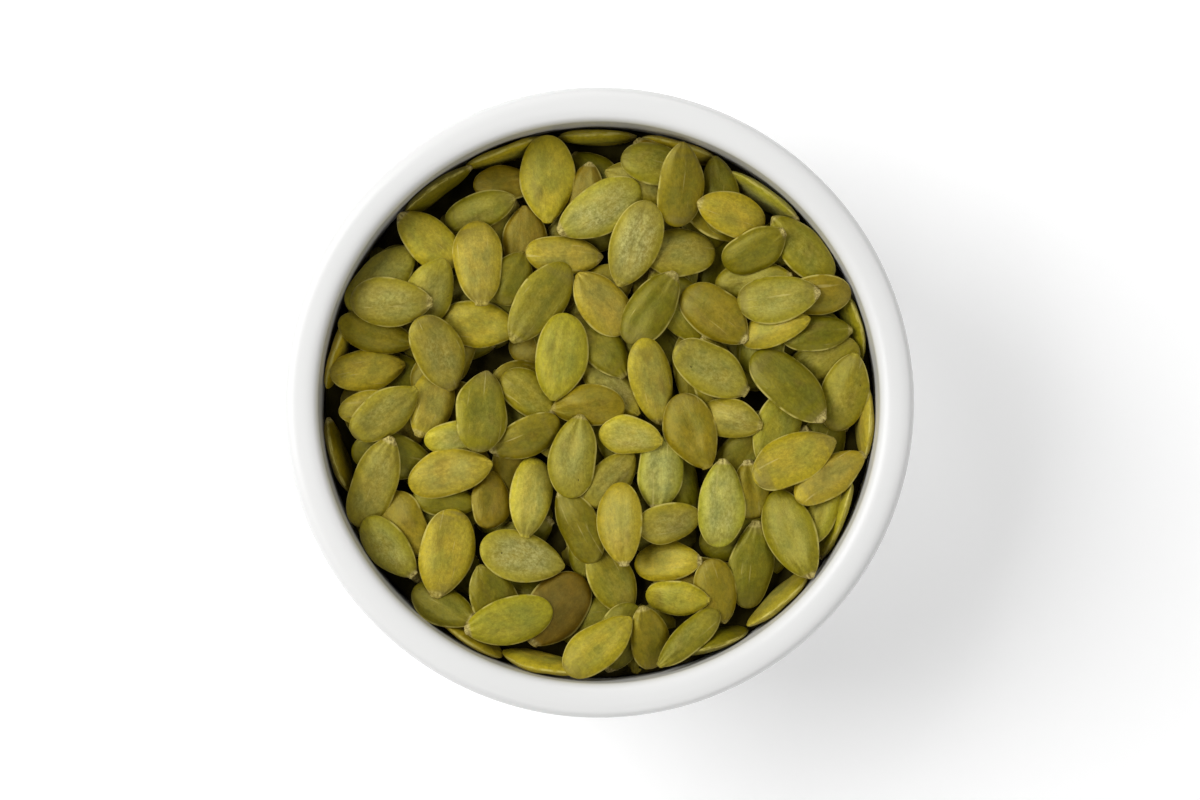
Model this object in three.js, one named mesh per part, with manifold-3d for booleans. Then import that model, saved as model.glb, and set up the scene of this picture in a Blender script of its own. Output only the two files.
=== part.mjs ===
// A small white glazed bowl, filled with hulled pumpkin seeds almost to its rim.
// Millimetres, +Z up. The origin is the centre of the foot ring, on the surface that the bowl stands on.
// Seen from above, +X is right and +Y is away from the eater. Two closed bodies: the bowl and the heap.
import * as THREE from "three";
import { ConvexGeometry } from "three/addons/geometries/ConvexGeometry.js";
import { mergeVertices } from "three/addons/utils/BufferGeometryUtils.js";
import Module from "manifold-3d";

// ---------------------------------------------------------------- driving dimensions

const RIM_RADIUS = 52; // outside of the bowl
const BOWL_HEIGHT = 50;
const RIM_WIDTH = 5.7; // the thick rounded rim
const RIM_ROUNDING = 2.2; // how far the rim's shoulders drop
const RIM_SQUARENESS = 0.75; // 1 gives a half round rim, less a flatter top
const INNER_RADIUS = RIM_RADIUS - RIM_WIDTH; // the upright upper wall inside
const INNER_STRAIGHT = 22; // how far the inside stays upright below the rim
const OUTER_STRAIGHT = 10;
const FLOOR_HEIGHT = 9; // inside floor above the table
const FLOOR_RADIUS = 24;
const FOOT_RADIUS = 33;
const FOOT_WIDTH = 4;
const FOOT_HEIGHT = 4;
const FOOT_RECESS = 2.6; // the underside inside the foot ring is raised by this
const FOOT_BEVEL = 0.8;
const BOWL_SIDES = 64;
const WALL_STEPS = 6; // facets of each rounded wall, from the upright down to the foot or the floor
const RIM_STEPS = 8;

const SEED_LENGTH = 13.8; // a middling seed
const SEED_WIDTH = 8;
const SEED_THICKNESS = 2.5;
const SIZE_SPREAD = 0.1; // seeds run from 10% under to 10% over
const SEED_TAPER = 0.1; // how much narrower the half towards the tip is
const TIP_FULLNESS = 0.7; // 0.5 gives a round end, more a pointed one
const BUTT_FULLNESS = 0.52;
const SEED_CROWN = 0.62; // the flat middle of a seed's face, as a share of its outline
const SEED_SIDES = 10; // corners of its outline

const HEAP_CLEARANCE = 4.8; // from the highest seed up to the rim's plane
const HEAP_SLOPE = 0.045; // the heap lies lower towards +Y
const CORE_RISE = 5; // the heap is solid up to this far above the bed on which the seeds are laid
const FIT_GAP = 0.3; // between the heap and the bowl
const PRESSED_IN = 0.3; // how far a seed is sunk into those below it
const FUSED_EXTRA = 0.5; // a fused seed is thicker by this, so that it joins what it touches

const LOOSE_SEEDS = 105; // lying anywhere, under those that are listed below
const CANDIDATES = 10; // places tried for each loose seed, of which the lowest is taken
const LYING_TILT = 0.45; // steepest slope of a loose seed, in radians
const TOP_TILT = 0.25;
const LEANING_ROLL = [1.25, 1.5]; // how steeply a seed stands that leans on the wall, in radians
const LEANING_PITCH = 0.25; // how far its length slopes at most
const LEANING_SWING = 0.12; // how far it turns from the wall's own direction at most
const LEAST_SHOWING = 4; // mm2 of a seed that must be seen from above for it to be made

// The seeds that lie on top, lowest first: pointed end x, y, blunt end x, y, and width.
const TOP_SEEDS = [
  [-9.9, 37, -21.1, 36.4, 6],
  [1, 38.8, 13, 35, 6.5],
  [-1.6, 40.3, -2.6, 28.5, 6.8],
  [-31, -0.5, -43.4, -1.3, 5.5],
  [35.4, -23.9, 38.8, -12.5, 5.5],
  [32.6, 21.3, 19.3, 19.8, 6],
  [6.7, -2.2, -2.2, 7.6, 6.5],
  [25, -9.5, 26, -19.5, 6.5],
  [6, -8.5, -2, -17, 6.5],
  [-20, -17, -31, -15.5, 5.5],
  [-31.7, 26.4, -42.4, 15.7, 8.1],
  [-13.8, 34.3, -25.8, 29.8, 6.2],
  [-13.3, 12.3, -26.8, 13.9, 7.7],
  [-30, -6, -26.2, 5.4, 7.4],
  [-27.7, -10.3, -41.3, -7.6, 8],
  [-16.4, -5, -29.2, -6.3, 5.6],
  [-29.1, -25.7, -35.8, -15.3, 8],
  [-21.6, -37.7, -32.2, -32.1, 6.8],
  [-20.1, -26.9, -15, -38.7, 7.8],
  [-11.5, -40.4, -2.9, -28.8, 9.2],
  [-12.2, 33, -12.6, 21.5, 7.4],
  [-12.6, 25.2, -16.5, 16.3, 6.5],
  [4.7, 4.3, -4.3, 14.6, 7],
  [0.9, 24.2, -12.4, 25, 6.4],
  [15.4, 38.3, 3.7, 41, 7.2],
  [29.1, 31.2, 38.9, 20.4, 7.1],
  [19.9, 41.9, 21, 28.7, 6.4],
  [6.3, 25.1, 19.6, 25, 8.1],
  [30, 17.8, 42.1, 18.3, 6.6],
  [42.4, 12.1, 30.2, 11.4, 6.2],
  [35.3, 14.3, 23.6, 10.4, 5.6],
  [-7.6, -2.2, -16, 4.8, 6.9],
  [-8.1, -0.8, 4.4, -0.4, 6.6],
  [9.9, -18.2, 10.4, -5.5, 7.7],
  [10.7, -6.3, 0, -4.8, 6.4],
  [17.5, -18.9, 6.2, -20.9, 6.7],
  [5.3, -35.4, -0.8, -24.7, 7.3],
  [1.3, -45.2, 5.6, -33.4, 7.5],
  [26.4, -19.6, 24.7, -34.5, 7.3],
  [44.6, -8.3, 32.6, -16.3, 6.6],
  [42.9, 8.4, 39.2, -4.7, 7.8],
  [27.3, -10.6, 31.9, 1.5, 7.5],
  [27.4, -4, 17, -1.5, 6.5],
  [-18.2, -8.4, -6.5, -3.1, 6.3],
  [20.9, -37, 18.4, -26.1, 6.8],
  [-6.4, -14.2, -0.5, -26.6, 6.8],
  [-32.2, 6.4, -45, 4.5, 7.1],
  [-30.7, 9.6, -43.6, 13.4, 6.2],
  [-33.4, 31.6, -23.9, 22.8, 7.6],
  [-25.5, 24.1, -31, 12.8, 8],
  [-27.5, 16.6, -41.4, 16.9, 7.9],
  [-19.5, 15.8, -20.7, 30.6, 8.2],
  [-8.6, 29.9, -8.7, 44.8, 8.9],
  [-24, 1.9, -29.7, 14.5, 8.3],
  [-14.6, 10, -5.3, 23.2, 8],
  [-30.1, 2.2, -40.9, -5.5, 7.1],
  [-34.1, -5.4, -40.5, -20.9, 7.6],
  [-17.6, -11.3, -18.5, -21.2, 6.6],
  [-17.7, -9.9, -31.8, -13.5, 7.8],
  [-18.7, 5.6, -20.4, -8.4, 8.6],
  [-31.6, -29.5, -40, -19.9, 6.9],
  [-27.1, -32.6, -23.6, -17.8, 9],
  [-22.4, -38, -7.6, -34.5, 7.9],
  [-5.5, -27.6, -20, -23.8, 8.4],
  [-12.3, -22.8, -10.6, -8.9, 7.1],
  [-7.4, 0.2, -5.3, 14.9, 8.6],
  [-3.6, 21.6, 4.5, 11.7, 8],
  [-6.8, 28.3, 6.9, 36.2, 8.1],
  [3.3, 19.2, 8.6, 33.6, 8],
  [12.8, 21.8, 4.7, 9.9, 7.4],
  [14.1, 43.6, 13.1, 29.1, 7.9],
  [16.3, 33.6, 27.8, 29.4, 7.2],
  [31.3, 28.5, 20.9, 22.6, 7],
  [24.9, 10.4, 14.1, 18.8, 8.2],
  [37, 18.1, 23, 16.5, 7.9],
  [24.9, 1.6, 12.6, 9.3, 8],
  [10.4, -4, 7.2, 10.9, 7],
  [-3.2, -1.9, -5.2, -15.9, 7.9],
  [18.1, -11.1, 12.9, 1.3, 8.4],
  [4, -27.3, 3.2, -13.2, 7.5],
  [20.8, -9.3, 19.9, -24.2, 7.7],
  [17.5, -26.2, 5.8, -27, 6.6],
  [18.7, -33, 7.6, -32.3, 5.9],
  [7.3, -33.6, 9.3, -44.6, 6.8],
  [5.5, -35.8, -5.5, -44.9, 7.4],
  [9.8, -44, 20.1, -34.5, 5],
  [35.3, -29.5, 29, -14.7, 8.3],
  [39.5, -6, 25.5, -12.8, 8.1],
  [37.8, -3, 25.9, 8.4, 8.5],
];

// Where seeds stand on edge against the wall, in degrees round from +X.
const LEANING_SEEDS = [17, 51, 72, 90, 110, 127, 168, 191, 240, 257, 295, 312, 333, 356];

const GLAZE_COLOUR = 0xf1f1ee;
const SEED_COLOUR = 0x878649;

// ---------------------------------------------------------------- solids

function lathe(profile) {
  const points = profile.map(([radius, height]) => new THREE.Vector2(radius, height));
  return new THREE.LatheGeometry(points, BOWL_SIDES).rotateX(Math.PI / 2);
}

const MERGE_STEP = 1e-3; // corners closer than this are one

// Only positions, with shared corners merged and the collapsed triangles at the axis dropped.
function closedMesh(geometry) {
  const bare = geometry.clone();
  bare.deleteAttribute("normal");
  bare.deleteAttribute("uv");
  const merged = mergeVertices(bare, MERGE_STEP);
  const index = merged.index.array;
  const kept = [];
  for (let i = 0; i < index.length; i += 3) {
    const [a, b, c] = [index[i], index[i + 1], index[i + 2]];
    if (a !== b && b !== c && c !== a) kept.push(a, b, c);
  }
  merged.setIndex(kept);
  return merged;
}

const wasm = await Module();
wasm.setup();

function toManifold(geometry) {
  const closed = closedMesh(geometry);
  return new wasm.Manifold(
    new wasm.Mesh({
      numProp: 3,
      vertProperties: new Float32Array(closed.attributes.position.array),
      triVerts: new Uint32Array(closed.index.array),
    }),
  );
}

function fromManifold(solid) {
  const mesh = solid.getMesh();
  const geometry = new THREE.BufferGeometry();
  geometry.setAttribute("position", new THREE.BufferAttribute(mesh.vertProperties, 3));
  geometry.setIndex(new THREE.BufferAttribute(mesh.triVerts, 1));
  geometry.computeVertexNormals();
  return geometry;
}

// ---------------------------------------------------------------- the bowl

// A rounded wall, from upright at (radius, top) to level at (endRadius, bottom).
function quarterWall(radius, top, endRadius, bottom, steps) {
  const points = [];
  for (let i = 0; i <= steps; i++) {
    const turn = (i / steps) * (Math.PI / 2);
    points.push([
      endRadius + (radius - endRadius) * Math.cos(turn),
      top - (top - bottom) * Math.sin(turn),
    ]);
  }
  return points;
}

function rimProfile(steps) {
  const points = [];
  for (let i = 0; i <= steps; i++) {
    const turn = (i / steps) * Math.PI;
    const across = Math.sign(Math.cos(turn)) * Math.abs(Math.cos(turn)) ** RIM_SQUARENESS;
    const up = Math.sin(turn) ** RIM_SQUARENESS;
    points.push([
      RIM_RADIUS - (RIM_WIDTH / 2) * (1 - across),
      BOWL_HEIGHT - RIM_ROUNDING * (1 - up),
    ]);
  }
  return points;
}

function footProfile() {
  const inside = FOOT_RADIUS - FOOT_WIDTH;
  return [
    [0, FOOT_RECESS],
    [inside - FOOT_BEVEL, FOOT_RECESS],
    [inside, FOOT_BEVEL],
    [inside + FOOT_BEVEL, 0],
    [FOOT_RADIUS - FOOT_BEVEL, 0],
    [FOOT_RADIUS, FOOT_BEVEL],
  ];
}

function innerProfile(gap, top) {
  const wall = quarterWall(
    INNER_RADIUS - gap,
    BOWL_HEIGHT - INNER_STRAIGHT,
    FLOOR_RADIUS,
    FLOOR_HEIGHT + gap,
    WALL_STEPS,
  );
  return [[INNER_RADIUS - gap, top], ...wall, [0, FLOOR_HEIGHT + gap]];
}

function makeBowl() {
  const shoulder = BOWL_HEIGHT - OUTER_STRAIGHT;
  const outside = quarterWall(RIM_RADIUS, shoulder, FOOT_RADIUS, FOOT_HEIGHT, WALL_STEPS);
  const inside = innerProfile(0, BOWL_HEIGHT - RIM_ROUNDING).slice(1);
  return lathe([...footProfile(), ...outside.reverse(), ...rimProfile(RIM_STEPS), ...inside]);
}

// ---------------------------------------------------------------- how the seeds come to rest

// Each seed falls as a flattened ellipsoid onto a map of heights, and tilts until its middle lies lowest.

const MAP_CELL = 0.5;
const MAP_HALF = Math.ceil(RIM_RADIUS / MAP_CELL);
const MAP_SIDE = 2 * MAP_HALF + 1;
const PLACE_STEP = 1e-4; // resting places are rounded to this
const WALL_DIRECTIONS = 24; // in which a seed is tested against the wall
const WALL_PASSES = 3;
const FIRST_TURN = 0.2; // a seed rocks by this angle first, in radians, then by half of it and so on
const LAST_TURN = 0.01;
const LEAST_FALL = 1e-6;

const heights = new Float64Array(MAP_SIDE * MAP_SIDE);
const owners = new Int32Array(MAP_SIDE * MAP_SIDE).fill(-1);

let randomState = 20465;
function random() {
  randomState = (randomState * 16807) % 2147483647;
  return randomState / 2147483647;
}

function between(low, high) {
  return low + (high - low) * random();
}

// The seed's own axes in the bowl's frame: along it to the pointed end, across it, and through it.
function axesOf({ heading, pitch, roll }) {
  const [ch, sh] = [Math.cos(heading), Math.sin(heading)];
  const [cp, sp] = [Math.cos(pitch), Math.sin(pitch)];
  const [cr, sr] = [Math.cos(roll), Math.sin(roll)];
  return [
    [ch * cp, sh * cp, sp],
    [-sh * cr - ch * sp * sr, ch * cr - sh * sp * sr, cp * sr],
    [sh * sr - ch * sp * cr, -ch * sr - sh * sp * cr, cp * cr],
  ];
}

function product(axes, weights, i, j) {
  return axes.reduce((sum, axis, k) => sum + axis[i] * axis[j] * weights[k], 0);
}

function halfSizes({ length, width, thickness }) {
  return [length / 2, width / 2, thickness / 2];
}

// Calls visit(cell, dx, dy, below, above) for each map cell under the seed.
function eachCell(seed, visit) {
  const axes = axesOf(seed);
  const sizes = halfSizes(seed);
  const inverse = sizes.map((size) => 1 / (size * size));
  const squares = sizes.map((size) => size * size);
  const term = (i, j) => product(axes, inverse, i, j);
  const [xx, xy, yy] = [term(0, 0), term(0, 1), term(1, 1)];
  const [xz, yz, zz] = [term(0, 2), term(1, 2), term(2, 2)];
  const reachX = Math.sqrt(product(axes, squares, 0, 0));
  const reachY = Math.sqrt(product(axes, squares, 1, 1));
  const firstX = Math.ceil((seed.x - reachX) / MAP_CELL);
  const lastX = Math.floor((seed.x + reachX) / MAP_CELL);
  const firstY = Math.ceil((seed.y - reachY) / MAP_CELL);
  const lastY = Math.floor((seed.y + reachY) / MAP_CELL);
  for (let j = firstY; j <= lastY; j++) {
    const dy = j * MAP_CELL - seed.y;
    for (let i = firstX; i <= lastX; i++) {
      const dx = i * MAP_CELL - seed.x;
      const slope = xz * dx + yz * dy;
      const inside = slope * slope - zz * (xx * dx * dx + 2 * xy * dx * dy + yy * dy * dy - 1);
      if (inside <= 0) continue;
      const root = Math.sqrt(inside);
      visit((j + MAP_HALF) * MAP_SIDE + i + MAP_HALF, (-slope - root) / zz, (-slope + root) / zz);
    }
  }
}

function restingHeight(seed) {
  let rest = -Infinity;
  eachCell(seed, (cell, below) => {
    rest = Math.max(rest, heights[cell] - below);
  });
  return rest;
}

// Moves a seed inward until its outline, seen from above, is clear of the wall.
function keepInside(seed) {
  const room = (INNER_RADIUS - FIT_GAP) * Math.cos(Math.PI / BOWL_SIDES);
  const squares = halfSizes(seed).map((size) => size * size);
  const axes = axesOf(seed);
  for (let pass = 0; pass < WALL_PASSES; pass++) {
    for (let k = 0; k < WALL_DIRECTIONS; k++) {
      const turn = (2 * Math.PI * k) / WALL_DIRECTIONS;
      const [nx, ny] = [Math.cos(turn), Math.sin(turn)];
      const spread =
        nx * nx * product(axes, squares, 0, 0) +
        2 * nx * ny * product(axes, squares, 0, 1) +
        ny * ny * product(axes, squares, 1, 1);
      const over = nx * seed.x + ny * seed.y + Math.sqrt(spread) - room;
      if (over > 0) {
        seed.x -= nx * over;
        seed.y -= ny * over;
      }
    }
  }
}

// Rocks a seed about its length and its width until its middle is as low as it gets.
function settle(seed, tiltLimit) {
  keepInside(seed);
  let best = { ...seed, z: restingHeight(seed) };
  for (let turn = FIRST_TURN; turn > LAST_TURN; turn /= 2) {
    let moved = true;
    while (moved) {
      moved = false;
      for (const [dp, dr] of [[turn, 0], [-turn, 0], [0, turn], [0, -turn]]) {
        const tried = { ...best, pitch: best.pitch + dp, roll: best.roll + dr };
        if (Math.max(Math.abs(tried.pitch), Math.abs(tried.roll)) > tiltLimit) continue;
        keepInside(tried);
        tried.z = restingHeight(tried);
        if (tried.z < best.z - LEAST_FALL) {
          best = tried;
          moved = true;
        }
      }
    }
  }
  return best;
}

const seeds = [];

function lay(seed) {
  seed.z -= PRESSED_IN;
  for (const key of ["x", "y", "z", "heading", "pitch", "roll"]) {
    seed[key] = Math.round(seed[key] / PLACE_STEP) * PLACE_STEP;
  }
  eachCell(seed, (cell, below, above) => {
    if (seed.z + above > heights[cell]) {
      heights[cell] = seed.z + above;
      owners[cell] = seeds.length;
    }
  });
  seeds.push(seed);
}

function anySize() {
  const size = between(1 - SIZE_SPREAD, 1 + SIZE_SPREAD);
  return {
    length: SEED_LENGTH * size,
    width: SEED_WIDTH * size * between(1 - SIZE_SPREAD, 1 + SIZE_SPREAD / 2),
    thickness: SEED_THICKNESS,
  };
}

function layLooseSeeds(count) {
  for (let i = 0; i < count; i++) {
    const size = anySize();
    let lowest = null;
    for (let k = 0; k < CANDIDATES; k++) {
      const bearing = between(0, 2 * Math.PI);
      const reach = INNER_RADIUS * Math.sqrt(random());
      const place = { x: reach * Math.cos(bearing), y: reach * Math.sin(bearing) };
      const seed = { ...size, ...place, heading: between(0, 2 * Math.PI), pitch: 0, roll: 0 };
      keepInside(seed);
      seed.z = restingHeight(seed);
      if (lowest === null || seed.z < lowest.z - LEAST_FALL) lowest = seed;
    }
    lay(settle(lowest, LYING_TILT));
  }
}

// Seeds stood on edge, their length along the wall and their upper edge against it.
function layLeaningSeeds() {
  for (const degrees of LEANING_SEEDS) {
    const bearing = (degrees * Math.PI) / 180;
    const seed = {
      ...anySize(),
      x: INNER_RADIUS * Math.cos(bearing),
      y: INNER_RADIUS * Math.sin(bearing),
      heading: bearing - Math.PI / 2 + between(-LEANING_SWING, LEANING_SWING),
      pitch: between(-LEANING_PITCH, LEANING_PITCH),
      roll: between(...LEANING_ROLL),
    };
    keepInside(seed);
    seed.z = restingHeight(seed);
    lay(seed);
  }
}

function layTopSeeds() {
  for (const [tipX, tipY, buttX, buttY, width] of TOP_SEEDS) {
    const seed = {
      length: Math.hypot(tipX - buttX, tipY - buttY),
      width,
      thickness: SEED_THICKNESS,
      x: (tipX + buttX) / 2,
      y: (tipY + buttY) / 2,
      heading: Math.atan2(tipY - buttY, tipX - buttX),
      pitch: 0,
      roll: 0,
    };
    lay(settle(seed, TOP_TILT));
  }
}

function layAllSeeds() {
  for (let j = 0; j < MAP_SIDE; j++) {
    const y = (j - MAP_HALF) * MAP_CELL;
    heights.fill(-HEAP_SLOPE * y, j * MAP_SIDE, (j + 1) * MAP_SIDE);
  }
  layLeaningSeeds();
  layLooseSeeds(LOOSE_SEEDS);
  layTopSeeds();
  const bed = BOWL_HEIGHT - HEAP_CLEARANCE - heights.reduce((top, height) => Math.max(top, height));
  for (const seed of seeds) seed.z += bed;
  return bed;
}

// ---------------------------------------------------------------- the heap

// Half the width of a seed at a place along it, from -1 at the blunt end to 1 at the pointed one.
function outlineAt(along) {
  const fullness = along > 0 ? TIP_FULLNESS : BUTT_FULLNESS;
  return Math.max(0, 1 - along * along) ** fullness * (1 - SEED_TAPER * along);
}

// A plain seed: the hull of its outline and of four corners of each face.
function makeSeed(seed) {
  const [a, b, c] = halfSizes({ ...seed, thickness: seed.thickness + FUSED_EXTRA });
  const corners = [];
  for (let k = 0; k < SEED_SIDES; k++) {
    const turn = (2 * Math.PI * k) / SEED_SIDES;
    const along = Math.cos(turn);
    corners.push(new THREE.Vector3(a * along, b * Math.sign(Math.sin(turn)) * outlineAt(along), 0));
  }
  for (let k = 0; k < 4; k++) {
    const along = a * SEED_CROWN * Math.cos((k * Math.PI) / 2);
    const across = b * SEED_CROWN * Math.sin((k * Math.PI) / 2);
    corners.push(new THREE.Vector3(along, across, c), new THREE.Vector3(along, across, -c));
  }
  const axes = axesOf(seed).map((axis) => new THREE.Vector3(...axis));
  const place = new THREE.Matrix4().makeBasis(...axes);
  place.setPosition(seed.x, seed.y, seed.z);
  return new ConvexGeometry(corners).applyMatrix4(place);
}

function makeCore(top) {
  const core = lathe([...innerProfile(FIT_GAP, top).reverse(), [0, top]]);
  const position = core.attributes.position;
  for (let i = 0; i < position.count; i++) {
    const isTop = position.getZ(i) > top - MERGE_STEP;
    if (isTop) position.setZ(i, top - HEAP_SLOPE * position.getY(i));
  }
  return core;
}

// Fused seeds can seal a hollow or leave a scrap: the largest closed skin alone is the heap.
function makeHeap() {
  const bed = layAllSeeds();
  const showing = new Array(seeds.length).fill(0);
  for (const owner of owners) {
    if (owner >= 0) showing[owner] += MAP_CELL * MAP_CELL;
  }
  const shown = seeds.filter((seed, i) => showing[i] > LEAST_SHOWING);
  const room = lathe([...innerProfile(FIT_GAP, BOWL_HEIGHT).reverse(), [0, BOWL_HEIGHT]]);
  const pieces = [makeCore(bed + CORE_RISE), ...shown.map(makeSeed)];
  const heap = wasm.Manifold.union(pieces.map(toManifold)).intersect(toManifold(room));
  const bodies = heap.decompose().sort((p, q) => q.volume() - p.volume());
  return fromManifold(bodies[0]);
}

// ---------------------------------------------------------------- the part

function named(name, geometry, colour, roughness) {
  const mesh = new THREE.Mesh(
    geometry,
    new THREE.MeshStandardMaterial({ color: colour, roughness, metalness: 0 }),
  );
  mesh.name = name;
  return mesh;
}

const part = new THREE.Group();
part.add(named("bowl", makeBowl(), GLAZE_COLOUR, 0.15));
part.add(named("seeds", makeHeap(), SEED_COLOUR, 0.55));

export default part;
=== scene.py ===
"""A small white glazed bowl of hulled pumpkin seeds, seen from straight above.

The bowl and every seed are real meshes. The seeds come to rest by the rule that the solids were made
by: each falls as a flattened ellipsoid onto the ones below it and, unless it stands on edge against
the wall, tilts until it lies lowest.
Lengths are in millimetres up to the making of a mesh, where MM turns them into metres. Those of the
floor, the lights and the camera are in metres.
"""

import math

import bpy
import numpy as np
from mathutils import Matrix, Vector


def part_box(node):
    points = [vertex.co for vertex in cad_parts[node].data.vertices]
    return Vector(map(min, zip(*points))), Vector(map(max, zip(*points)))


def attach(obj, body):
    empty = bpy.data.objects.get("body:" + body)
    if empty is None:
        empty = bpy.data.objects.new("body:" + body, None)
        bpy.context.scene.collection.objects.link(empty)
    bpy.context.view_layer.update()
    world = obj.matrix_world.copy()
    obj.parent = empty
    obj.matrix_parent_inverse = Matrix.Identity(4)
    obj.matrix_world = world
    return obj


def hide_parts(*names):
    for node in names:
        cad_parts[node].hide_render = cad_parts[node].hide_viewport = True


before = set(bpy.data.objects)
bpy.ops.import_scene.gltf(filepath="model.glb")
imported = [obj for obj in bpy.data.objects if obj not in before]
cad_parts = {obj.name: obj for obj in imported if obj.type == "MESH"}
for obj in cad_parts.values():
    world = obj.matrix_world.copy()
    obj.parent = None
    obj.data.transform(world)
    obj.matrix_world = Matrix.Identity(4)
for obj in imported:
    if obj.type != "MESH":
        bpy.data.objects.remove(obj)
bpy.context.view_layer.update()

MM = 0.001

# ---------------------------------------------------------------- sizes, from the frame and the solids

RIM_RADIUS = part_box("bowl")[1].x / MM
BOWL_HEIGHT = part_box("bowl")[1].z / MM
RIM_WIDTH = 5.7  # the thick rounded rim
RIM_ROUNDING = 2.2  # how far the rim's shoulders drop
RIM_SQUARENESS = 0.75  # 1 gives a half round rim, less a flatter top
INNER_RADIUS = RIM_RADIUS - RIM_WIDTH  # the upright upper wall inside
INNER_STRAIGHT = 22  # how far the inside stays upright below the rim
OUTER_STRAIGHT = 10
FLOOR_HEIGHT = 9  # inside floor above the table
FLOOR_RADIUS = 24
FOOT_RADIUS = 33
FOOT_WIDTH = 4
FOOT_HEIGHT = 4
FOOT_RECESS = 2.6  # the underside inside the foot ring is raised by this
FOOT_BEVEL = 0.8
BOWL_SIDES = 64  # of the solid bowl, whose flats narrow the room inside a little

SEED_LENGTH = 13.8  # a middling seed
SEED_WIDTH = 8
SEED_THICKNESS = 2.5
SIZE_SPREAD = 0.1  # seeds run from 10% under to 10% over

HEAP_CLEARANCE = 4.8  # from the highest seed up to the rim's plane
HEAP_SLOPE = 0.045  # the heap lies lower towards +Y
FIT_GAP = 0.3  # between the heap and the bowl
PRESSED_IN = 0.3  # how far a seed is sunk into those below it

LOOSE_SEEDS = 105  # lying anywhere, under those that are listed below
CANDIDATES = 10  # places tried for each loose seed, of which the lowest is taken
LYING_TILT = 0.45  # steepest slope of a loose seed, in radians
TOP_TILT = 0.25
LEANING_ROLL = (1.25, 1.5)  # how steeply a seed stands that leans on the wall, in radians
LEANING_PITCH = 0.25  # how far its length slopes at most
LEANING_SWING = 0.12  # how far it turns from the wall's own direction at most
LEAST_SHOWING = 4  # mm2 seen from above, under which a seed counts as buried

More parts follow.
